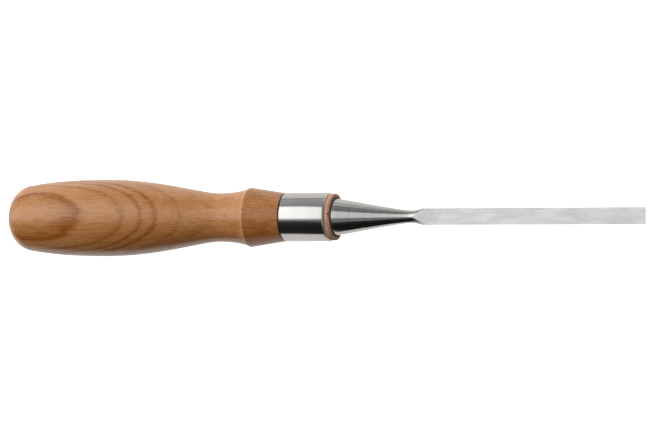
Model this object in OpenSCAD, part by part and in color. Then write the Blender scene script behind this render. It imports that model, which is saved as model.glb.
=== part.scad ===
// Narrow bench chisel: turned handle with a steel ferrule, a leather shock washer,
// and one forging that holds the tang, the conical bolster and the bevel-edged blade.
//
// The tool's axis is X, with +X towards the cutting edge. The flat back of the blade
// faces +Z. The origin is on the axis, in the middle of the ferrule.

/* [Handle] */
// Length of the handle, from its butt to its front face
handle_len = 130.4; // [105:0.1:160]
// Distance from the butt to the shoulder, where the domed end becomes the side
shoulder_x = 8.8; // [6:0.1:14]
// Diameter at the shoulder
shoulder_d = 25.2; // [20:0.1:32]
// Slope of the side at the shoulder, in degrees
shoulder_slope = 8.5; // [2:0.5:14]
// Distance from the butt to the fullest point of the belly
belly_x = 39.4; // [30:0.1:50]
// Diameter of the belly
belly_d = 29.3; // [24:0.1:36]
// Distance from the front face back to the middle of the waist
waist_x = 44.7; // [40:0.1:55]
// Diameter of the waist
waist_d = 18.4; // [14:0.1:24]
// Distance from the front face back to the crest of the collar
crest_x = 32; // [26:0.1:38]
// Diameter of the crest of the collar
crest_d = 22.5; // [19:0.1:28]
// Slope at which the waist rises to the crest, in degrees
crest_slope = 25.5; // [10:0.5:35]
// How far the wood lies below the ferrule's surface where the two meet
collar_inset = 0.1; // [0:0.05:0.5]

/* [Ferrule] */
// Length of the ferrule
ferrule_len = 17.8; // [12:0.1:24]
// Outside diameter of the ferrule
ferrule_d = 18.3; // [16:0.1:21]
// Wall of the ferrule
ferrule_wall = 1; // [0.6:0.1:1.6]
// Rounding of the ferrule's front edge
ferrule_front_r = 0.5; // [0.2:0.05:0.6]
// Rounding of the ferrule's rear edge
ferrule_rear_r = 0.15; // [0.05:0.05:0.4]

/* [Leather washer] */
// Thickness of the washer
washer_t = 2.1; // [1:0.1:4]
// How far the washer's rim lies inside the ferrule's surface
washer_inset = 0.35; // [0:0.05:1]
// Gap between the corners of the tang and the washer's hole
washer_gap = 0.15; // [0.05:0.05:0.5]

/* [Bolster] */
// Length of the bolster, from its seat to the narrowest point of the neck
bolster_len = 29.7; // [24:0.1:40]
// Diameter of the bolster at its seat
bolster_d = 14; // [11:0.1:16]
// Slope of the bolster at its seat, in degrees
bolster_slope = 9.2; // [6:0.1:11]
// Diameter of the neck
neck_d = 4.72; // [4:0.01:6]
// Radius of the flare from the neck into the blade
flare_r = 13; // [6:0.1:20]

/* [Blade] */
// Length of the blade, from the neck to the cutting edge
blade_len = 91.6; // [60:0.1:140]
// Width of the blade at the cutting edge
edge_w = 6.35; // [4:0.05:12]
// How much narrower the blade is beside the neck
narrowing = 0.15; // [0:0.05:0.4]
// Height of the flat back over the top of the neck, and of the neck over the underside
back_rise = 0.09; // [0.02:0.01:0.4]
// Thickness of the blade at the heel of the cutting bevel
edge_t = 3.2; // [2:0.1:4.4]
// Height of the square sides over the side bevels, at the heel of the cutting bevel
side_land = 1.3; // [0.3:0.1:1.9]
// Slope of the side bevels, in degrees from the back
side_bevel = 50; // [30:1:65]
// Slope of the cutting bevel, in degrees from the back
cutting_bevel = 25; // [20:1:35]

/* [Tang] */
// Length of the tang behind the bolster's seat
tang_len = 64; // [40:0.5:80]
// Side of the square tang at the bolster
tang_root = 6.2; // [4:0.1:8]
// Side of the square tang at its end
tang_end = 3.2; // [2:0.1:4]
// How deep the corners of the tang bite into the wood
tang_bite = 0.1; // [0.05:0.05:0.3]
// Depth of the handle's bore beyond the end of the tang
bore_extra = 3; // [1:0.5:10]

/* [Hidden] */
$fn = 96;
// Steps along each curve of a turned outline
curve_steps = 14;
// Steps along a rounded edge
edge_steps = 6;
// How far a cutting solid runs past the material that it cuts
past = 10;
// How far the blade's bar laps behind the neck
lap = 1;

front_x = ferrule_len / 2;
rear_x = -ferrule_len / 2;
butt_x = front_x - handle_len;
spigot_r = ferrule_d / 2 - ferrule_wall;
collar_end_r = ferrule_d / 2 - collar_inset;
washer_r = ferrule_d / 2 - washer_inset;
seat_x = front_x + washer_t;
neck_x = seat_x + bolster_len;
edge_x = neck_x + blade_len;
back_z = neck_d / 2 + back_rise;
root_t = 2 * back_z;
land_w = edge_w - 2 * (edge_t - side_land) / tan(side_bevel);

// How far the control points of each curve reach, as shares of the stretch they shape
dome_full = 0.8;
dome_corner = 0.29;
side_start = 0.14;
side_full = 0.61;
belly_full = 0.47;
waist_full = 0.17;
cove_full = 0.54;
cove_end = 0.12;
bolster_start = 0.2;
neck_full = 0.13;

// Half the diagonal of the tang at a distance x in front of its end
function tang_corner(x) =
    (tang_end + (tang_root - tang_end) * x / tang_len) / sqrt(2);

// Points [along, radius] of a cubic curve from a to d, with control points b and c
function curve(a, b, c, d, steps = curve_steps) = [
    for (i = [1 : steps])
        let (t = i / steps, s = 1 - t)
            s * s * s * a + 3 * s * s * t * b + 3 * s * t * t * c + t * t * t * d
];

// Points of an arc about centre c, from angle a0 to a1, with 0 degrees along the axis
function arc(c, r, a0, a1, steps = edge_steps) = [
    for (i = [0 : steps])
        let (a = a0 + (a1 - a0) * i / steps)
            c + r * [cos(a), sin(a)]
];

// A solid of revolution about X, from points [along, radius]
module turned(points)
    rotate([0, 90, 0])
        rotate_extrude()
            polygon([for (p = points) [p[1], p[0]]]);

module handle() {
    butt = [butt_x, 0];
    shoulder = [butt_x + shoulder_x, shoulder_d / 2];
    belly = [butt_x + belly_x, belly_d / 2];
    waist = [front_x - waist_x, waist_d / 2];
    crest = [front_x - crest_x, crest_d / 2];
    side = [cos(shoulder_slope), sin(shoulder_slope)];
    rise = [1, tan(crest_slope)];
    side_run = belly_x - shoulder_x;
    belly_run = waist[0] - belly[0];
    cove_run = crest[0] - waist[0];
    bore_x = seat_x - tang_len - bore_extra;
    mouth_r = tang_corner(tang_len - washer_t) - tang_bite;
    end_r = tang_corner(-bore_extra) - tang_bite;

    color("peru")
        difference() {
            turned(concat(
                [butt],
                curve(butt, butt + [0, dome_full * shoulder[1]],
                      shoulder - dome_corner * shoulder_x * side, shoulder),
                curve(shoulder, shoulder + side_start * side_run * side,
                      belly - [side_full * side_run, 0], belly),
                curve(belly, belly + [belly_full * belly_run, 0],
                      waist - [waist_full * belly_run, 0], waist),
                curve(waist, waist + [cove_full * cove_run, 0],
                      crest - cove_end * cove_run * rise, crest),
                [[rear_x, collar_end_r], [rear_x, spigot_r],
                 [front_x, spigot_r], [front_x, 0]]
            ));
            translate([bore_x, 0, 0])
                rotate([0, 90, 0])
                    cylinder(h = front_x - bore_x, r1 = end_r, r2 = mouth_r);
        }
}

module ferrule() {
    r = ferrule_d / 2;
    color("silver")
        turned(concat(
            [[rear_x, spigot_r]],
            arc([rear_x + ferrule_rear_r, r - ferrule_rear_r], ferrule_rear_r, 180, 90),
            arc([front_x - ferrule_front_r, r - ferrule_front_r], ferrule_front_r, 90, 0),
            [[front_x, spigot_r]]
        ));
}

module leather_washer() {
    hole_r = tang_corner(tang_len) + washer_gap;
    color("rosybrown")
        translate([front_x, 0, 0])
            rotate([0, 90, 0])
                difference() {
                    cylinder(h = washer_t, r = washer_r);
                    translate([0, 0, -past])
                        cylinder(h = washer_t + 2 * past, r = hole_r);
                }
}

// Tapered square tang, from the end in the handle to the bolster's seat
module tang() {
    outline = [[0, -tang_end / 2], [tang_len, -tang_root / 2],
               [tang_len, tang_root / 2], [0, tang_end / 2]];
    translate([seat_x - tang_len, 0, 0])
        intersection() {
            linear_extrude(tang_root, center = true) polygon(outline);
            rotate([90, 0, 0]) linear_extrude(tang_root, center = true) polygon(outline);
        }
}

// Conical bolster, neck and flare, then a plain cylinder that the blade is cut from
module turned_steel() {
    seat = [seat_x, bolster_d / 2];
    neck = [neck_x, neck_d / 2];
    fall = [1, -tan(bolster_slope)];
    blank_r = norm([edge_w, root_t]);
    flare_a = acos(1 - (blank_r - neck[1]) / flare_r);
    turned(concat(
        [[seat_x, 0], seat],
        curve(seat, seat + bolster_start * bolster_len * fall,
              neck - [neck_full * bolster_len, 0], neck),
        [for (i = [1 : curve_steps])
            let (a = flare_a * i / curve_steps)
                neck + flare_r * [sin(a), 1 - cos(a)]],
        [[edge_x + past, blank_r], [edge_x + past, 0]]
    ));
}

// The bar with flat faces that bounds the blade, beside everything behind the neck
module blade_bounds() {
    reach = edge_w + 2 * past;
    side_a = atan(narrowing / 2 / blade_len);
    under_a = atan((root_t - edge_t) / blade_len);
    cut_len = blade_len + 2 * past;
    translate([seat_x, -bolster_d, -bolster_d])
        cube([bolster_len, 2 * bolster_d, 2 * bolster_d]);
    difference() {
        translate([neck_x - lap, -reach / 2, back_z - reach])
            cube([blade_len + lap, reach, reach]);
        // Both sides, which taper towards the neck
        for (s = [-1, 1])
            translate([edge_x, s * edge_w / 2, 0])
                rotate([0, 0, s * side_a])
                    translate([past - cut_len, (s - 1) / 2 * reach, -reach])
                        cube([cut_len, reach, 2 * reach]);
        // The underside, which tapers towards the edge, and its two side bevels
        translate([edge_x, 0, back_z - edge_t])
            rotate([0, -under_a, 0])
                for (s = [-1, 0, 1])
                    translate([past - cut_len, s * land_w / 2, 0])
                        rotate([s * side_bevel, 0, 0])
                            translate([0, -reach, -reach])
                                cube([cut_len, 2 * reach, reach]);
        // The cutting bevel
        translate([edge_x, 0, back_z])
            rotate([0, -cutting_bevel, 0])
                translate([-reach, -reach, -reach])
                    cube([2 * reach, 2 * reach, reach]);
    }
}

module blade()
    color("lightsteelblue") {
        tang();
        intersection() {
            turned_steel();
            blade_bounds();
        }
    }

handle();
ferrule();
leather_washer();
blade();
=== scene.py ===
"""Bench chisel: turned handle, steel ferrule, leather washer and forged blade.

Shapes are in metres, in the frame of the CAD model: +X runs along the tool's axis to the
cutting edge, and the blade's flat back faces +Z. The materials count in millimetres. Sizes
in the helpers below that have no unit are shares of a length.
"""
from math import acos, atan, atan2, cos, pi, radians, sin, tan

import bpy
from bpy.props import FloatProperty, FloatVectorProperty, PointerProperty
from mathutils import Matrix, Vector


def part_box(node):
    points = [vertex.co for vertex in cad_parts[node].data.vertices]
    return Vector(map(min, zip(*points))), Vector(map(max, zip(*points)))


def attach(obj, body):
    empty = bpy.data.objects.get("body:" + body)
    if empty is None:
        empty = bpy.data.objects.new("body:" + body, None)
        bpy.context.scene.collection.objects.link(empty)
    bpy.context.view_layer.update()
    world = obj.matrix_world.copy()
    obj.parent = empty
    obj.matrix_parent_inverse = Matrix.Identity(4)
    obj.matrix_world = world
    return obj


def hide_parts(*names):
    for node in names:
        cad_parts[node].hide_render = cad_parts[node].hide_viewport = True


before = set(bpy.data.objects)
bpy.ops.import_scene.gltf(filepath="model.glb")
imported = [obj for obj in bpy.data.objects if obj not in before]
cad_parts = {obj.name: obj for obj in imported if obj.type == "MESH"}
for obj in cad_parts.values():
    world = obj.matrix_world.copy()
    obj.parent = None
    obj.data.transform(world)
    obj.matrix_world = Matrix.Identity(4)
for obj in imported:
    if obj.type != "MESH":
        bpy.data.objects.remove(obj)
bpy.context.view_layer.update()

bl_info = {
    "name": "Bench Chisel",
    "version": (1, 0, 0),
    "blender": (4, 5, 0),
    "location": "View3D > Sidebar > Chisel",
    "description": "Builds a narrow bench chisel and its studio, piece by piece",
    "category": "Object",
}

MM = 0.001
HANDLE_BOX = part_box("handle")
FERRULE_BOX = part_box("ferrule")
WASHER_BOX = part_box("leather_washer")
BLADE_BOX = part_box("blade")

AROUND = 144                 # faces round a turned piece
X_AXIS = Vector((1, 0, 0))
DOUBLED = 0.002 * MM         # points closer than this are one point

# How far the control points of each curve reach, as shares of the stretch they shape.
DOME_FULL = 0.8
DOME_CORNER = 0.29
SIDE_START = 0.14
SIDE_FULL = 0.61
BELLY_FULL = 0.47
WAIST_FULL = 0.17
COVE_FULL = 0.54
COVE_END = 0.12
BOLSTER_START = 0.2
NECK_FULL = 0.13

# Growth rings: the start in mm from the pith, the darkness, and the width in mm of the fade.
GROWTH = ((49.5, 1.5, 1.2), (46.2, 0.55, 0.7), (44.1, 0.65, 0.4), (42.3, 0.80, 0.7),
          (39.0, 0.32, 1.0), (35.1, 0.25, 0.9), (31.2, 0.18, 0.9), (27.6, 0.18, 0.9))
# Local swells of the rings: how far they push, and where along X and Y, all in mm.
SWELLS = ((-0.35, -86, 5), (-0.55, -90, -2), (0.45, -103, 10))
SWELL_X = 7
SWELL_Y = 3.2
# The pith, in mm: where it runs under X = -60, and how much it turns and climbs per mm.
PITH_X = -60
PITH_Y = -2.1
PITH_Z = -30.4
PITH_TURN = -0.017
PITH_CLIMB = 0.174

# Brightness of the studio by the lean of the light, in degrees from overhead: +90 is +Y.
STUDIO_RING = ((-180, 0.08), (-99, 0.08), (-95, 0.30), (-91, 0.30), (-83, 0.012),
               (-40, 0.012), (-22, 0.03), (-12, 0.25), (-4, 1.0), (49, 1.0), (54, 0.22),
               (92, 0.30), (98, 0.9), (150, 0.9), (180, 0.1))
# Towards +X the ring is skewed to -Y: how far behind overhead the skew starts, as the X of
# a direction, how much it turns, and the lean where it starts and where it is full.
SKEW_REACH = 0.34
SKEW_TURN = 0.145            # turns per unit of X
SKEW_LEAN = (0.03, 0.085)    # turns
# Strength of the ring: overhead, its change per unit of X, and its limits.
POWER_OVERHEAD = 0.97
POWER_CHANGE = -1.5
POWER_LEAST = 0.4
POWER_MOST = 2.0
FLOOR_SIDE = 40              # metres
CARD_REACH = 0.4             # metres from the origin to the far end of a card


# ---------------------------------------------------------------- sizes and colours

def length(name, text, default):
    """A length in metres that a user can change."""
    return FloatProperty(name=name, description=text, default=default, min=0,
                         precision=5, unit="LENGTH", subtype="DISTANCE")


def angle(name, text, default):
    """An angle that a user can change."""
    return FloatProperty(name=name, description=text, default=radians(default), unit="ROTATION",
                         subtype="ANGLE")


def colour(name, text, default):
    """A linear colour that a user can change."""
    return FloatVectorProperty(name=name, description=text, default=default, size=3, min=0,
                               max=1, subtype="COLOR")


class ChiselHandle(bpy.types.PropertyGroup):
    """The turned handle."""
    shoulder_x: length("Shoulder", "From the butt to the shoulder", 8.8 * MM)
    shoulder_d: length("Shoulder diameter", "Diameter at the shoulder", 25.2 * MM)
    shoulder_slope: angle("Shoulder slope", "Slope of the side at the shoulder", 8.5)
    belly_x: length("Belly", "From the butt to the fullest point", 39.4 * MM)
    waist_x: length("Waist", "From the front face to the waist", 44.7 * MM)
    waist_d: length("Waist diameter", "Diameter of the waist", 18.4 * MM)
    crest_x: length("Crest", "From the front face to the collar's crest", 32 * MM)
    crest_d: length("Crest diameter", "Diameter of the collar's crest", 22.5 * MM)
    crest_slope: angle("Crest slope", "Slope at which the waist rises to the crest", 25.5)
    crest_round: length("Crest rounding", "Softening of the collar's crest", 0.25 * MM)
    collar_inset: length("Collar inset", "Depth of the wood below the ferrule", 0.1 * MM)
    bore_d: length("Bore", "Diameter of the bore at its mouth", 8.5 * MM)
    light: colour("Light wood", "Wood between the growth rings", (0.78, 0.36, 0.125))
    dark: colour("Dark wood", "Porous wood that starts each ring", (0.42, 0.118, 0.006))


class ChiselFerrule(bpy.types.PropertyGroup):
    """The steel tube on the front of the handle."""
    wall: length("Wall", "Thickness of the tube", 1 * MM)
    front_round: length("Front rounding", "Rounding of the front edge", 0.75 * MM)
    rear_round: length("Rear rounding", "Rounding of the rear edge", 0.15 * MM)
    steel: colour("Polished steel", "Colour of the polished tube", (0.56, 0.555, 0.54))


class ChiselWasher(bpy.types.PropertyGroup):
    """The leather washer."""
    front_round: length("Front rounding", "Rounding of the front edge", 0.4 * MM)
    hole_d: length("Hole", "Diameter of the hole", 9.1 * MM)
    unevenness: length("Unevenness", "How far the cut edge wanders", 0.12 * MM)
    nick: length("Nick", "Depth of the nick in the front edge", 0.4 * MM)
    leather: colour("Leather", "Cut edge of the leather", (0.88, 0.50, 0.33))


class ChiselBlade(bpy.types.PropertyGroup):
    """The forging: tang, bolster, neck and blade."""
    bolster_len: length("Bolster", "From the seat to the neck", 29.7 * MM)
    bolster_slope: angle("Bolster slope", "Slope of the bolster at its seat", 9.2)
    seat_round: length("Seat rounding", "Rounding of the bolster's seat", 0.6 * MM)
    neck_d: length("Neck", "Diameter of the neck", 4.72 * MM)
    flare_r: length("Flare", "Radius of the flare from the neck", 13 * MM)
    edge_w: length("Edge width", "Width at the cutting edge", 6.35 * MM)
    narrowing: length("Narrowing", "How much narrower the blade's root is", 0.15 * MM)
    back_rise: length("Back rise", "Height of the back over the neck", 0.09 * MM)
    edge_t: length("Edge thickness", "Thickness at the heel of the bevel", 3.2 * MM)
    side_land: length("Side land", "Square side over the side bevel, at the heel", 1.3 * MM)
    side_bevel: angle("Side bevel", "Slope of the side bevels", 50)
    cutting_bevel: angle("Cutting bevel", "Slope of the cutting bevel", 25)
    tang_root: length("Tang root", "Side of the tang at the bolster", 6.2 * MM)
    tang_end: length("Tang end", "Side of the tang at its end", 3.2 * MM)
    edge_break: length("Edge break", "Softening of the ground edges", 0.05 * MM)
    ground: colour("Ground steel", "Colour of the ground blade", (0.685, 0.685, 0.675))
    polished: colour("Bolster steel", "Colour of the polished bolster", (0.55, 0.545, 0.53))


class ChiselStudio(bpy.types.PropertyGroup):
    """The floor, the light and the camera."""
    distance: length("Camera distance", "From the camera to the tool", 1.8)
    yaw: angle("Camera yaw", "Turn of the camera towards the cutting edge", 20)
    roll: angle("Camera roll", "Roll of the camera", 0.24)
    lens: FloatProperty(name="Lens", description="Focal length in millimetres", default=264.7)
    aim_x: length("Camera aim", "Where on the axis the camera looks", 6.82 * MM)
    floor: colour("Floor", "Colour of the floor that reflections see", (0.50, 0.50, 0.50))
    floor_glow: FloatProperty(name="Floor glow", default=0.60, min=0,
                              description="Light given off by the floor that reflections see")
    grey_card: FloatProperty(name="Grey card", description="Light from the grey card",
                             default=0.42, min=0)
    card_distance: length("Card distance", "From the tool's axis to the cards", 50 * MM)


GROUPS = {
    "chisel_handle": ChiselHandle,
    "chisel_ferrule": ChiselFerrule,
    "chisel_washer": ChiselWasher,
    "chisel_blade": ChiselBlade,
    "chisel_studio": ChiselStudio,
}


# ---------------------------------------------------------------- outlines

def curve(a, b, c, d, steps=24):
    """Points of a cubic curve from a to d, without a itself; b and c are control points."""
    a, b, c, d = (Vector(p) for p in (a, b, c, d))
    ts = [i / steps for i in range(1, steps + 1)]
    return [(1 - t) ** 3 * a + 3 * (1 - t) ** 2 * t * b + 3 * (1 - t) * t * t * c + t ** 3 * d
            for t in ts]


def arc(centre, radius, start, end, steps=8):
    """Points of an arc in an outline, with 0 degrees along the tool's axis."""
    turns = [radians(start + (end - start) * i / steps) for i in range(steps + 1)]
    return [Vector(centre) + radius * Vector((cos(a), sin(a))) for a in turns]


# ---------------------------------------------------------------- mesh work

def deselect():
    """Leaves nothing selected, in object mode."""
    if bpy.context.mode != "OBJECT":
        bpy.ops.object.mode_set(mode="OBJECT")
    bpy.ops.object.select_all(action="DESELECT")


def edit(piece):
    """Opens one piece in edit mode with all of it selected."""
    deselect()
    bpy.context.view_layer.objects.active = piece
    piece.select_set(True)
    bpy.ops.object.mode_set(mode="EDIT")
    bpy.ops.mesh.select_all(action="SELECT")


def turned(name, outline, closed=False):
    """Turns an outline of (along, radius) points about the X axis, as on a lathe."""
    deselect()
    start = Vector((outline[0][0], 0, outline[0][1]))
    bpy.ops.mesh.primitive_plane_add(size=MM, location=start)
    piece = bpy.context.object
    piece.name = name
    bpy.ops.object.mode_set(mode="EDIT")
    bpy.ops.mesh.select_mode(type="VERT")
    bpy.ops.mesh.merge(type="CENTER")
    here = start
    for x, r in list(outline[1:]) + ([outline[0]] if closed else []):
        there = Vector((x, 0, r))
        bpy.ops.mesh.extrude_vertices_move(TRANSFORM_OT_translate={"value": there - here})
        here = there
    bpy.ops.mesh.select_all(action="SELECT")
    bpy.ops.mesh.spin(steps=AROUND, angle=2 * pi, center=(0, 0, 0), axis=X_AXIS)
    tidy(piece)
    return piece


def tidy(piece):
    """Leaves edit mode, puts the place into the mesh, merges doubles and turns faces out."""
    bpy.ops.object.mode_set(mode="OBJECT")
    apply_place(piece)
    merge(piece)


def merge(piece):
    """Merges doubled points and turns the faces outwards."""
    edit(piece)
    bpy.ops.mesh.remove_doubles(threshold=DOUBLED)
    bpy.ops.mesh.normals_make_consistent(inside=False)
    deselect()


def apply_place(piece):
    """Puts the piece's place into its mesh, so its object is at the origin."""
    deselect()
    bpy.context.view_layer.objects.active = piece
    piece.select_set(True)
    bpy.ops.object.transform_apply(location=True, rotation=True, scale=True)


def shave(piece, point, normal):
    """Cuts away all of a piece that lies beyond a plane, and closes the cut."""
    edit(piece)
    bpy.ops.mesh.bisect(plane_co=point, plane_no=normal, use_fill=True, clear_outer=True,
                        threshold=0.0001 * MM)
    deselect()


def join(pieces):
    """Joins pieces into the first one."""
    deselect()
    for piece in pieces:
        piece.select_set(True)
    bpy.context.view_layer.objects.active = pieces[0]
    bpy.ops.object.join()
    return pieces[0]


def apply_modifier(piece, kind, **settings):
    """Adds a modifier, sets it and applies it."""
    deselect()
    bpy.context.view_layer.objects.active = piece
    piece.select_set(True)
    bpy.ops.object.modifier_add(type=kind)
    modifier = piece.modifiers[-1]
    for key, value in settings.items():
        setattr(modifier, key, value)
    bpy.ops.object.modifier_apply(modifier=modifier.name)


def finish_piece(piece, material, node, smooth=30):
    """Smooths a piece, gives it its material and ties it to the frame."""
    deselect()
    bpy.context.view_layer.objects.active = piece
    piece.select_set(True)
    bpy.ops.object.shade_smooth_by_angle(angle=radians(smooth))
    piece.data.materials.clear()
    piece.data.materials.append(material)
    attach(piece, "root")
    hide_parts(node)
    deselect()


# ---------------------------------------------------------------- shader maths

class Value:
    """A number in a node tree. Arithmetic on it adds Math nodes."""

    def __init__(self, shader, socket):
        self.shader, self.socket = shader, socket

    def math(self, operation, *others, **settings):
        """Adds a Math node that works on this number and the others."""
        node = self.shader.node("ShaderNodeMath", {"operation": operation, **settings},
                                {i: v for i, v in enumerate((self, *others))})
        return node["Value"]

    def __add__(self, other):
        return self.math("ADD", other)

    def __sub__(self, other):
        return self.math("SUBTRACT", other)

    def __mul__(self, other):
        return self.math("MULTIPLY", other)

    def __truediv__(self, other):
        return self.math("DIVIDE", other)

    def __pow__(self, other):
        return self.math("POWER", other)

    def __rsub__(self, other):
        return (self * -1) + other

    __radd__ = __add__
    __rmul__ = __mul__

    def clamp(self):
        """The number, held between 0 and 1."""
        return self.math("ADD", 0.0, use_clamp=True)

    def ramp(self, low, high, to_low=0.0, to_high=1.0):
        """Rises smoothly from to_low to to_high as the number goes from low to high."""
        return self.shader.node("ShaderNodeMapRange", {"interpolation_type": "SMOOTHSTEP"},
                                {"Value": self, "From Min": low, "From Max": high,
                                 "To Min": to_low, "To Max": to_high})["Result"]


class Outputs:
    """The output sockets of a node, by name."""

    def __init__(self, shader, node):
        self.shader, self.made = shader, node

    def __getitem__(self, name):
        found = [s for s in self.made.outputs if s.name == name and s.enabled]
        return Value(self.shader, found[0])


class Shader:
    """The node tree of one material or world."""

    def __init__(self, owner):
        owner.use_nodes = True
        self.tree = owner.node_tree
        self.tree.nodes.clear()

    def node(self, kind, settings=None, inputs=None):
        """Adds a node, makes its settings, then fills or links its sockets."""
        made = self.tree.nodes.new(kind)
        for key, value in (settings or {}).items():
            if key == "stops":
                self.set_stops(made.color_ramp, value)
            else:
                setattr(made, key, value)
        for key, value in (inputs or {}).items():
            if isinstance(key, int):
                socket = made.inputs[key]
            else:
                socket = [s for s in made.inputs if s.name == key and s.enabled][0]
            if isinstance(value, Value):
                self.tree.links.new(value.socket, socket)
            elif hasattr(value, "__len__") and socket.type == "RGBA" and len(value) == 3:
                socket.default_value = (*value, 1)
            else:
                socket.default_value = value
        return Outputs(self, made)

    @staticmethod
    def set_stops(ramp, stops):
        """Gives a colour ramp its stops, as (place, grey) pairs."""
        while len(ramp.elements) < len(stops):
            ramp.elements.new(1)
        for element, (place, grey) in zip(ramp.elements, stops):
            element.position = place
            element.color = (grey, grey, grey, 1)

    def mix(self, factor, a, b):
        """Mixes two colours."""
        return self.node("ShaderNodeMix", {"data_type": "RGBA"},
                         {"Factor": factor, "A": a, "B": b})["Result"]

    def vector(self, operation, a, b):
        """Vector arithmetic."""
        return self.node("ShaderNodeVectorMath", {"operation": operation},
                         {0: a, 1: b})["Vector"]

    def noise(self, place, stretch, detail=3.0, roughness=0.5):
        """Noise from 0 to 1; stretch gives the bumps per millimetre along X, Y and Z."""
        scaled = self.vector("MULTIPLY", place, stretch)
        return self.node("ShaderNodeTexNoise", {}, {"Vector": scaled, "Scale": 1.0,
                         "Detail": detail, "Roughness": roughness})["Fac"]

    def place(self):
        """Object coordinates in millimetres, whole and as three numbers."""
        metres = self.node("ShaderNodeTexCoord")["Object"]
        whole = self.vector("MULTIPLY", metres, (1000, 1000, 1000))
        split = self.node("ShaderNodeSeparateXYZ", {}, {0: whole})
        return whole, split["X"], split["Y"], split["Z"]

    def bump(self, height, strength, distance):
        """A surface normal for a relief of height times distance, in metres."""
        return self.node("ShaderNodeBump", {}, {"Height": height, "Strength": strength,
                         "Distance": distance})["Normal"]

    def surface(self, **sockets):
        """The principled surface, wired to the output."""
        named = {key.replace("_", " "): value for key, value in sockets.items()}
        bsdf = self.node("ShaderNodeBsdfPrincipled", {}, named)
        self.node("ShaderNodeOutputMaterial", {}, {"Surface": bsdf["BSDF"]})


def new_material(name):
    """An empty material and its node tree."""
    material = bpy.data.materials.new(name)
    return material, Shader(material)


# ---------------------------------------------------------------- materials

def shaded(tint, share):
    """A darker shade of a colour."""
    return tuple(c * share for c in tint)


def lacquered_ash(light, dark, crest_x, joint_x):
    """Flat-sawn ring-porous wood under a thin satin lacquer."""
    material, s = new_material("lacquered ash")
    whole, x, y, z = s.place()

    # Growth rings are shells about a pith that runs below the handle, at a slant.
    sway = s.noise(whole, (0.03, 0.08, 0.08), detail=1.0) - 0.5
    ripple = s.noise(whole, (0.10, 0.45, 0.45), detail=2.0) - 0.5
    fray = s.noise(whole, (0.30, 2.4, 2.4), detail=3.0, roughness=0.6) - 0.5
    along = x - PITH_X
    across = y - PITH_Y - along * PITH_TURN
    above = z - PITH_Z - along * PITH_CLIMB
    ring = (across * across + above * above) ** 0.5 + sway * 0.8 + ripple * 0.55
    for swell, at_x, at_y in SWELLS:
        far = ((x - at_x) / SWELL_X) ** 2 + ((y - at_y) / SWELL_Y) ** 2
        ring = ring + far.ramp(0.0, 2.6, swell, 0.0)

    # Pores and fibres run along the handle, and show most where the waist is cut away.
    fibre = s.noise(whole, (0.08, 1.5, 1.5), detail=3.0, roughness=0.6).ramp(0.32, 0.68)
    streaks = s.noise(whole, (0.28, 3.6, 3.6), detail=2.0).ramp(0.34, 0.66)
    specks = s.noise(whole, (1.5, 5.0, 5.0), detail=2.0).ramp(0.45, 0.75)
    pores = s.noise(whole, (0.8, 3.1, 3.1), detail=1.0).ramp(0.46, 0.60)
    cloud = s.noise(whole, (0.04, 0.14, 0.14), detail=2.0).ramp(0.3, 0.7)
    cove = x.ramp(crest_x - 14, crest_x - 8) * x.ramp(crest_x - 1, crest_x, 1.0, 0.0)
    edge = x.ramp(crest_x - 1.0, crest_x - 0.4) * x.ramp(crest_x, crest_x + 0.4, 1.0, 0.0)

    # Each ring starts sharply with a dark porous line and fades outwards.
    lines = bands = None
    for start, strength, width in GROWTH:
        depth = ring - start
        frayed = depth + fray * 1.9 * width
        line = (depth + fray * 0.9).ramp(-0.08, 0.1) * frayed.ramp(0.2, 0.7, strength, 0.0)
        band = depth.ramp(-0.6, 0.1) * frayed.ramp(0.3, 2.0 * width, strength, 0.0)
        lines = line if lines is None else lines + line
        bands = band if bands is None else bands + band

    # The tone goes from 0, light wood, to 1, dark wood. Painted shade makes the lower side and
    # the collar darker and painted light the waist a little lighter; the edge of the crest is
    # lighter.
    grain = (fibre - 0.5) * 0.32 + (streaks - 0.5) * (cove * 0.25 + 0.26)
    # Painted shade: the collar, which faces the cutting edge, is darker.
    collar = x.ramp(crest_x, crest_x + 0.5)
    # Painted shade: the lower side, towards -Y, is darker, more so towards the front.
    lower_side_shade = x.ramp(-118, -55, 0.45, 1.0) * y.ramp(-10, 1, 1.0, 0.0)
    rings = lines * (pores * 0.80 + 0.18) + bands * 0.38
    flecks = (cloud - 0.5) * 0.24 + specks * 0.42 + 0.08
    zones = lower_side_shade * 0.42 + collar * 0.36 - cove * 0.02 - edge * 0.4
    tone = (rings + grain + flecks + zones).clamp()
    tint = s.mix(tone, light, dark)

    # Painted shade, with some dirt, darkens the last half millimetre behind the ferrule, in the
    # joint.
    joint = x.ramp(joint_x - 0.85, joint_x - 0.4)
    shade_and_dirt = (0.02, 0.006, 0.002)
    tint = s.mix(joint * 0.95, tint, shade_and_dirt)
    rough = 0.36 + (fibre - 0.5) * 0.08 + lines * 0.08
    relief = fibre * 0.25 + streaks * 0.35 - lines * pores * 0.8
    s.surface(Base_Color=tint, Roughness=rough, Normal=s.bump(relief, 0.3, 0.05 * MM),
              Specular_IOR_Level=0.3, Coat_Weight=0.65, Coat_Roughness=0.24)
    return material


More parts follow.
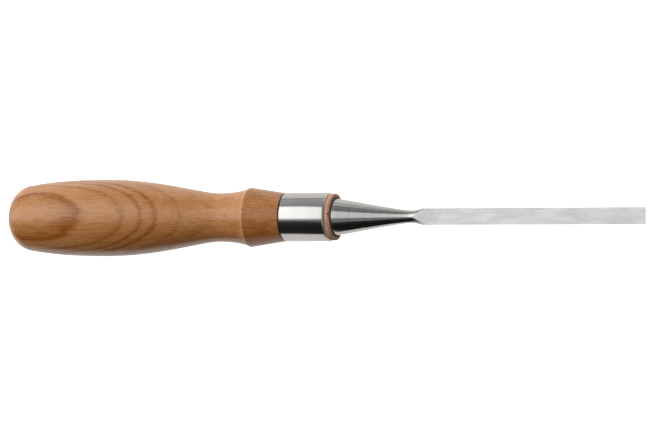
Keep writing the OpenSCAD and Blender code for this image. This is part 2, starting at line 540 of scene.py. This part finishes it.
def polished_steel(steel):
    """Bright steel with polishing marks round the tube, and a painted reflection of the leather at
    its front edge.
    """
    material, s = new_material("polished steel")
    whole, x, _, _ = s.place()
    marks = s.noise(whole, (7.0, 0.12, 0.12), detail=2.0)
    smudge = s.noise(whole, (0.12, 0.12, 0.12), detail=2.0)
    tint = s.mix(smudge.ramp(0.3, 0.7), steel, shaded(steel, 0.94))
    front = FERRULE_BOX[1][0] / MM
    # Painted reflection: the front edge is tinted beige, as if its rounded edge mirrored the
    # leather washer.
    rim_reflection = x.ramp(front - 0.6, front - 0.3)
    leather_reflection = (0.80, 0.66, 0.54)
    tint = s.mix(rim_reflection * 0.85, tint, leather_reflection)
    rough = 0.085 + marks * 0.05 + smudge * 0.03 + rim_reflection * 0.35
    s.surface(Base_Color=tint, Metallic=1.0, Roughness=rough,
              Normal=s.bump(marks, 0.12, 0.004 * MM))
    return material


def cut_leather(leather):
    """Pressed leather, seen at its cut edge."""
    material, s = new_material("cut leather")
    whole, x, y, z = s.place()
    grain = s.noise(whole, (3.0, 2.0, 2.0), detail=5.0, roughness=0.65)
    layer = s.noise(whole, (2.6, 0.16, 0.16), detail=2.0, roughness=0.6).ramp(0.38, 0.62)
    stain = s.noise(whole, (0.5, 0.3, 0.3), detail=2.0).ramp(0.35, 0.65)
    shade = (grain * 0.45 + layer * 0.45 + stain * 0.15).ramp(0.25, 0.8)
    tint = s.mix(shade, shaded(leather, 0.58), leather)

    # A pale layer runs round the edge, a little in front of the back face.
    back = x - WASHER_BOX[0][0] / MM
    pale = back.ramp(0.4, 0.55) * back.ramp(0.65, 0.9, 1.0, 0.0)
    pale_layer = (0.95, 0.74, 0.60)
    tint = s.mix(pale * 0.35, tint, pale_layer)

    # Painted shade darkens the leather at the bolster's seat, along the back and in the nick.
    front = x - WASHER_BOX[1][0] / MM
    radius = (y * y + z * z) ** 0.5
    seat = radius.ramp(7.1, 7.9, 1.0, 0.0) * front.ramp(-0.35, -0.1)
    behind = back.ramp(0.05, 0.40, 1.0, 0.0)
    nick = (((front + 0.35) / 0.45) ** 2 + ((y - 1.0) / 0.4) ** 2
            + (z - 8.6) ** 2).ramp(0.4, 1.5, 1.0, 0.0)
    painted_shade = (seat * 0.93 + behind * 0.85 + nick * 0.8).clamp()
    shade_colour = (0.04, 0.018, 0.01)
    tint = s.mix(painted_shade, tint, shade_colour)
    s.surface(Base_Color=tint, Roughness=0.75 + grain * 0.1,
              Normal=s.bump(grain * 0.7 + layer * 0.3, 0.6, 0.12 * MM), Specular_IOR_Level=0.3)
    return material


def tool_steel(ground, polished, neck_x):
    """A polished bolster that changes at the neck to a blade ground along its length."""
    material, s = new_material("tool steel")
    whole, x, _, _ = s.place()
    past_neck = x - neck_x / MM
    blade = past_neck.ramp(0.6, 2.2)
    rings = s.noise(whole, (5.0, 0.10, 0.10), detail=3.0)
    scratches = s.noise(whole, (0.10, 5.5, 5.5), detail=3.0, roughness=0.6)
    patches = s.noise(whole, (0.12, 0.5, 0.5), detail=3.0)
    lathe = s.mix(rings.ramp(0.3, 0.7), shaded(polished, 0.86), polished)

    # The ground steel has long scratches, and is mottled for the first 14 mm.
    fresh = past_neck.ramp(0, 14, 1.0, 0.0)
    mottle = s.noise(whole, (1.3, 2.2, 2.2), detail=3.0).ramp(0.42, 0.62, 0.0, 0.8) * fresh
    wear = (scratches * 0.55 + patches * 0.45 - mottle * 1.1).ramp(0.33, 0.67)
    satin = s.mix(wear, shaded(ground, 0.74), ground)
    tint = s.mix(blade, lathe, satin)
    rough_bolster = 0.11 + rings * 0.06
    rough_blade = 0.34 + scratches * 0.10
    rough = rough_bolster + (rough_blade - rough_bolster) * blade
    relief = rings * (1 - blade) * 0.5 + scratches * blade
    s.surface(Base_Color=tint, Metallic=1.0, Roughness=rough,
              Normal=s.bump(relief, 0.25, 0.010 * MM))
    return material


# ---------------------------------------------------------------- pieces

class CHISEL_OT_handle(bpy.types.Operator):
    """Turn the handle, with its collar, spigot and bore"""
    bl_idname = "chisel.handle"
    bl_label = "Handle"

    def execute(self, context):
        p = context.scene.chisel_handle
        low, high = HANDLE_BOX
        butt_x, front_x, belly_r = low[0], high[0], high[2]
        rear_x = FERRULE_BOX[0][0]
        ferrule_r = FERRULE_BOX[1][2]
        spigot_r = ferrule_r - context.scene.chisel_ferrule.wall
        bore_x = BLADE_BOX[0][0] - 3 * MM          # the bore runs on past the tang
        bore_end_r = 0.27 * p.bore_d

        butt = Vector((butt_x, 0))
        shoulder = Vector((butt_x + p.shoulder_x, p.shoulder_d / 2))
        belly = Vector((butt_x + p.belly_x, belly_r))
        waist = Vector((front_x - p.waist_x, p.waist_d / 2))
        crest = Vector((front_x - p.crest_x, p.crest_d / 2))
        side = Vector((cos(p.shoulder_slope), sin(p.shoulder_slope)))
        rise = Vector((1, tan(p.crest_slope)))
        side_run = p.belly_x - p.shoulder_x
        belly_run = waist.x - belly.x
        cove_run = crest.x - waist.x
        collar_end = Vector((rear_x, ferrule_r - p.collar_inset))
        fall = (collar_end - crest).normalized()
        before_crest = crest - p.crest_round * rise.normalized()
        after_crest = crest + p.crest_round * fall
        joint_round = 0.3 * MM

        outline = [butt]
        outline += curve(butt, butt + Vector((0, DOME_FULL * shoulder.y)),
                         shoulder - DOME_CORNER * p.shoulder_x * side, shoulder)
        outline += curve(shoulder, shoulder + SIDE_START * side_run * side,
                         belly - Vector((SIDE_FULL * side_run, 0)), belly)
        outline += curve(belly, belly + Vector((BELLY_FULL * belly_run, 0)),
                         waist - Vector((WAIST_FULL * belly_run, 0)), waist)
        outline += curve(waist, waist + Vector((COVE_FULL * cove_run, 0)),
                         before_crest - COVE_END * cove_run * rise, before_crest)
        outline += curve(before_crest, crest, crest, after_crest, steps=5)
        outline += curve(after_crest, after_crest + (collar_end - after_crest) / 3,
                         collar_end - (collar_end - after_crest) / 3,
                         collar_end - joint_round * fall, steps=8)
        outline += curve(collar_end - joint_round * fall, collar_end, collar_end,
                         collar_end - Vector((0, joint_round)), steps=5)
        outline += [Vector((rear_x, spigot_r)), Vector((front_x, spigot_r)),
                    Vector((front_x, p.bore_d / 2)), Vector((bore_x, bore_end_r)),
                    Vector((bore_x, 0))]
        piece = turned("turned_handle", outline)
        wood = lacquered_ash(p.light, p.dark, crest.x / MM, rear_x / MM)
        finish_piece(piece, wood, "handle")
        return {"FINISHED"}


class CHISEL_OT_ferrule(bpy.types.Operator):
    """Turn the ferrule, a short tube with softened edges"""
    bl_idname = "chisel.ferrule"
    bl_label = "Ferrule"

    def execute(self, context):
        p = context.scene.chisel_ferrule
        low, high = FERRULE_BOX
        outer, inner = high[2], high[2] - p.wall
        outline = [Vector((low[0], inner))]
        outline += arc((low[0] + p.rear_round, outer - p.rear_round), p.rear_round, 180, 90)
        outline += arc((high[0] - p.front_round, outer - p.front_round), p.front_round, 90, 0)
        outline += [Vector((high[0], inner))]
        piece = turned("steel_ferrule", outline, closed=True)
        finish_piece(piece, polished_steel(p.steel), "ferrule")
        return {"FINISHED"}


class CHISEL_OT_washer(bpy.types.Operator):
    """Turn the leather washer and let its cut edge wander"""
    bl_idname = "chisel.washer"
    bl_label = "Leather washer"

    def execute(self, context):
        p = context.scene.chisel_washer
        low, high = WASHER_BOX
        outer, hole = high[2], p.hole_d / 2
        back_round = 0.2 * MM
        seat_r = outer - p.front_round
        rings = 5
        outline = [Vector((low[0], hole))]
        outline += arc((low[0] + back_round, outer - back_round), back_round, 180, 90)
        outline += arc((high[0] - p.front_round, seat_r), p.front_round, 90, 0)
        outline += [Vector((high[0], seat_r + (hole - seat_r) * i / rings))
                    for i in range(1, rings + 1)]
        piece = turned("leather_shock_washer", outline, closed=True)
        wander = bpy.data.textures.new("leather edge", "CLOUDS")
        wander.noise_scale = 3.2 * MM
        wander.noise_depth = 3
        apply_modifier(piece, "DISPLACE", texture=wander, texture_coords="LOCAL",
                       direction="NORMAL", strength=p.unevenness * 2, mid_level=0.62)
        # Only the front edge, 0.6 mm back and 0.5 mm in from its rounding, gets the nick.
        self.nick(piece, p.nick, high[0] - 0.6 * MM, seat_r - 0.5 * MM)
        finish_piece(piece, cut_leather(p.leather), "leather_washer", smooth=50)
        return {"FINISHED"}

    def nick(self, piece, depth, from_x, from_r):
        """Presses one nick into the front edge, beside the top."""
        at = radians(7.5)
        edit(piece)
        bpy.ops.mesh.select_all(action="DESELECT")
        bpy.ops.object.mode_set(mode="OBJECT")
        for vertex in piece.data.vertices:
            x, y, z = vertex.co
            vertex.select = (x > from_x and Vector((y, z)).length > from_r
                             and abs(atan2(y, z) - at) < pi / AROUND)
        bpy.ops.object.mode_set(mode="EDIT")
        bpy.ops.transform.translate(value=(-depth, -depth * sin(at), -depth * cos(at)))
        deselect()


class CHISEL_OT_blade(bpy.types.Operator):
    """Forge the bolster and blade, grind the flats and add the tang"""
    bl_idname = "chisel.blade"
    bl_label = "Blade"

    def execute(self, context):
        p = context.scene.chisel_blade
        low, high = BLADE_BOX
        edge_x, seat_x, seat_r = high[0], WASHER_BOX[1][0], high[1]
        neck = Vector((seat_x + p.bolster_len, p.neck_d / 2))
        back_z = neck.y + p.back_rise
        blade_len = edge_x - neck.x
        steps = 40
        past = 2 * MM                              # the bar runs on past the edge

        # The bolster, which is open at the neck.
        seat = Vector((seat_x, seat_r))
        soft = p.seat_round
        fall = Vector((1, -tan(p.bolster_slope)))
        outline = [Vector((seat_x, 0)), seat - Vector((0, soft))]
        outline += curve(outline[-1], seat, seat, seat + soft * fall, steps=5)
        outline += curve(seat + soft * fall, seat + BOLSTER_START * p.bolster_len * fall,
                         neck - Vector((NECK_FULL * p.bolster_len, 0)), neck, steps=steps)
        bolster = turned("forged_blade", outline)

        # The bar that the blade is ground from, which flares out of the neck.
        bar_r = Vector((p.edge_w, 2 * back_z)).length
        flare = acos(1 - (bar_r - neck.y) / p.flare_r)
        outline = [neck]
        turns = [flare * i / steps for i in range(1, steps + 1)]
        outline += [neck + p.flare_r * Vector((sin(a), 1 - cos(a))) for a in turns]
        outline += [Vector((edge_x + past, bar_r)), Vector((edge_x + past, 0))]
        bar = turned("bar", outline)
        self.grind(bar, p, edge_x, back_z, blade_len)

        tang = self.tang(p, low[0], seat_x)
        piece = join([bolster, bar])
        merge(piece)
        self.crease(piece, blade_len)
        apply_modifier(piece, "BEVEL", width=p.edge_break, segments=2, limit_method="VGROUP",
                       vertex_group="long edges", use_clamp_overlap=True)
        piece = join([piece, tang])
        finish_piece(piece, tool_steel(p.ground, p.polished, neck.x), "blade",
                     smooth=22)
        return {"FINISHED"}

    def grind(self, bar, p, edge_x, back_z, blade_len):
        """Grinds the back, the sides, the underside and the three bevels."""
        edge = Vector((edge_x, 0, back_z))
        root_t = 2 * back_z
        side_a = atan(p.narrowing / 2 / blade_len)
        under = Vector(((root_t - p.edge_t) / blade_len, 0, -1)).normalized()
        land = p.edge_w / 2 - (p.edge_t - p.side_land) / tan(p.side_bevel)
        heel = edge - Vector((0, 0, p.edge_t))
        shave(bar, edge, (0, 0, 1))
        shave(bar, heel, under)
        for side in (-1, 1):
            corner = edge + Vector((0, side * p.edge_w / 2, 0))
            shave(bar, corner, (-sin(side_a), side * cos(side_a), 0))
            tilted = under * cos(p.side_bevel) + Vector((0, side, 0)) * sin(p.side_bevel)
            shave(bar, heel + Vector((0, side * land, 0)), tilted)
        shave(bar, edge, (sin(p.cutting_bevel), 0, -cos(p.cutting_bevel)))

    def crease(self, piece, blade_len):
        """Keeps the outline of each ground face crisp, and groups the long edges."""
        mesh = piece.data
        strip = 0.3 * MM * blade_len               # every ground face is larger than this
        ground = [f for f in mesh.polygons if f.area > strip]
        outlines = {key for face in ground for key in face.edge_keys}
        long_ends = set()
        edit(piece)
        bpy.ops.mesh.select_all(action="DESELECT")
        bpy.ops.mesh.select_mode(type="EDGE")
        bpy.ops.object.mode_set(mode="OBJECT")
        for line in mesh.edges:
            a, b = (mesh.vertices[i].co for i in line.vertices)
            if (a - b).length > blade_len / 2:
                long_ends.update(line.vertices)
            else:
                line.select = line.key in outlines
        bpy.ops.object.mode_set(mode="EDIT")
        bpy.ops.mesh.mark_sharp()
        bpy.ops.mesh.select_mode(type="VERT")
        deselect()
        piece.vertex_groups.new(name="long edges").add(list(long_ends), 1, "REPLACE")

    def tang(self, p, end_x, seat_x):
        """A square bar that tapers from the bolster to its end."""
        deselect()
        reach = seat_x - end_x
        bpy.ops.mesh.primitive_cube_add(size=1, location=(seat_x - reach / 2, 0, 0),
                                        scale=(reach, p.tang_root, p.tang_root))
        tang = bpy.context.object
        apply_place(tang)
        edit(tang)
        bpy.ops.mesh.select_all(action="DESELECT")
        bpy.ops.object.mode_set(mode="OBJECT")
        for vertex in tang.data.vertices:
            vertex.select = vertex.co.x < seat_x - reach / 2
        bpy.ops.object.mode_set(mode="EDIT")
        taper = p.tang_end / p.tang_root
        bpy.ops.transform.resize(value=(1, taper, taper), center_override=(end_x, 0, 0))
        deselect()
        return tang


# ---------------------------------------------------------------- studio

class CHISEL_OT_stage(bpy.types.Operator):
    """Lay the floor, light the studio and set the camera"""
    bl_idname = "chisel.stage"
    bl_label = "Stage"

    def execute(self, context):
        p = context.scene.chisel_studio
        self.floor(p)
        self.light(context)
        self.camera(context, p)
        context.scene.view_settings.view_transform = "Standard"
        return {"FINISHED"}

    def floor(self, p):
        """A pale floor under the belly, and what the steel reflects: a table and three cards."""
        height = HANDLE_BOX[0][2]
        white = (1, 1, 1)
        paper_tint = (0.8, 0.8, 0.8)
        warm = (1.0, 0.95, 0.90)
        flat = (0, 0, 0)
        paper = self.sheet("floor", (0, 0, height), FLOOR_SIDE, FLOOR_SIDE, flat)
        self.paint(paper, "lit paper", paper_tint, 1.0, white)
        paper.visible_diffuse = False
        paper.visible_glossy = False
        paper.visible_shadow = False
        table = self.sheet("table", (0, 0, height - 0.2 * MM), FLOOR_SIDE, FLOOR_SIDE, flat)
        self.paint(table, "warm table", tuple(p.floor), p.floor_glow, warm)
        self.reflect_only(table)

        # Each card: its name, start and end along X, side along Y, foot, head and glow.
        black_foot = height + MM
        black_head = 22 * MM
        black_glow = 0.01
        cards = (("grey_card", -CARD_REACH, CARD_REACH, 1, -4 * MM, 6 * MM, p.grey_card),
                 ("rear_card", -CARD_REACH, -40 * MM, -1, black_foot, black_head, black_glow),
                 ("black_card", 5 * MM, CARD_REACH, -1, black_foot, black_head, black_glow))
        for name, start, end, side, low, high, glow in cards:
            place = ((start + end) / 2, side * p.card_distance, (low + high) / 2)
            card = self.sheet(name, place, end - start, high - low, (pi / 2, 0, 0))
            self.paint(card, name.replace("_", " "), (0, 0, 0), glow, white)
            self.reflect_only(card)

    def reflect_only(self, sheet):
        """Leaves a sheet visible in reflections alone."""
        sheet.visible_camera = False
        sheet.visible_diffuse = False
        sheet.visible_shadow = False

    def sheet(self, name, place, wide, deep, turn):
        """A flat sheet of the studio."""
        deselect()
        bpy.ops.mesh.primitive_plane_add(size=1, location=place, rotation=turn)
        sheet = bpy.context.object
        sheet.name = name
        sheet.scale = (wide, deep, 1)
        apply_place(sheet)
        return sheet

    def paint(self, sheet, name, tint, glow, glow_tint):
        """A matt finish that also glows."""
        material, s = new_material(name)
        s.surface(Base_Color=tint, Roughness=1.0, Specular_IOR_Level=0.0,
                  Emission_Color=glow_tint, Emission_Strength=glow)
        sheet.data.materials.append(material)

    def light(self, context):
        """A long soft light overhead, a dark side and a dim side; the camera sees white."""
        world = bpy.data.worlds.new("studio")
        context.scene.world = world
        s = Shader(world)
        way = s.node("ShaderNodeTexCoord")["Generated"]
        split = s.node("ShaderNodeSeparateXYZ", {}, {0: way})

        # The lean is in turns, and the pattern shifts to -Y as it runs towards +X.
        lean = split["Y"].math("ARCTAN2", split["Z"]) * (0.5 / pi)
        towards_x = (split["X"] + SKEW_REACH).math("MAXIMUM", 0.0)
        skew = towards_x * lean.math("ABSOLUTE").ramp(*SKEW_LEAN, 0.0, SKEW_TURN)
        lean = lean + skew + 0.5
        stops = [((degrees + 180) / 360, grey) for degrees, grey in STUDIO_RING]
        glow = s.node("ShaderNodeValToRGB", {"stops": stops}, {"Fac": lean})["Color"]
        # The studio is brighter behind the butt than before the cutting edge.
        power = split["X"] * POWER_CHANGE + POWER_OVERHEAD
        power = power.ramp(0.0, POWER_MOST, 0.0, POWER_MOST).math("MAXIMUM", POWER_LEAST)
        studio = s.node("ShaderNodeBackground", {}, {"Color": glow, "Strength": power})
        pale = s.node("ShaderNodeBackground", {}, {"Color": (1, 1, 1), "Strength": 1.0})
        seen = s.node("ShaderNodeLightPath")["Is Camera Ray"]
        both = s.node("ShaderNodeMixShader", {}, {0: seen, 1: studio["Background"],
                                                  2: pale["Background"]})
        s.node("ShaderNodeOutputWorld", {}, {"Surface": both["Shader"]})

    def camera(self, context, p):
        """A long lens over the tool, turned towards its cutting edge."""
        aim = Vector((p.aim_x, 0, 0))
        back = Vector((sin(p.yaw), 0, cos(p.yaw)))
        deselect()
        bpy.ops.object.camera_add(location=aim + back * p.distance)
        camera = bpy.context.object
        camera.data.lens = p.lens
        camera.data.sensor_width = 36              # millimetres
        camera.data.clip_end = 100
        camera.rotation_euler = (0, p.yaw, 0)
        camera.rotation_euler.rotate_axis("Z", -p.roll)
        context.scene.camera = camera


# ---------------------------------------------------------------- panel and main

STEPS = (CHISEL_OT_handle, CHISEL_OT_ferrule, CHISEL_OT_washer, CHISEL_OT_blade,
         CHISEL_OT_stage)


class CHISEL_PT_panel(bpy.types.Panel):
    """Lists the steps and the sizes of each piece"""
    bl_idname = "CHISEL_PT_panel"
    bl_label = "Bench Chisel"
    bl_space_type = "VIEW_3D"
    bl_region_type = "UI"
    bl_category = "Chisel"

    def draw(self, context):
        for step in STEPS:
            self.layout.operator(step.bl_idname)
        for name, group in GROUPS.items():
            box = self.layout.box()
            box.label(text=group.__doc__)
            for prop in group.__annotations__:
                box.prop(getattr(context.scene, name), prop)


CLASSES = (*GROUPS.values(), *STEPS, CHISEL_PT_panel)


def register():
    """Adds the classes and the settings to Blender."""
    for cls in CLASSES:
        bpy.utils.register_class(cls)
    for name, group in GROUPS.items():
        setattr(bpy.types.Scene, name, PointerProperty(type=group))


def unregister():
    """Takes the classes and the settings out again."""
    for name in GROUPS:
        delattr(bpy.types.Scene, name)
    for cls in reversed(CLASSES):
        bpy.utils.unregister_class(cls)


def main():
    """Builds every piece and the studio."""
    register()
    bpy.ops.chisel.handle()
    bpy.ops.chisel.ferrule()
    bpy.ops.chisel.washer()
    bpy.ops.chisel.blade()
    bpy.ops.chisel.stage()


if __name__ == "__main__":
    main()
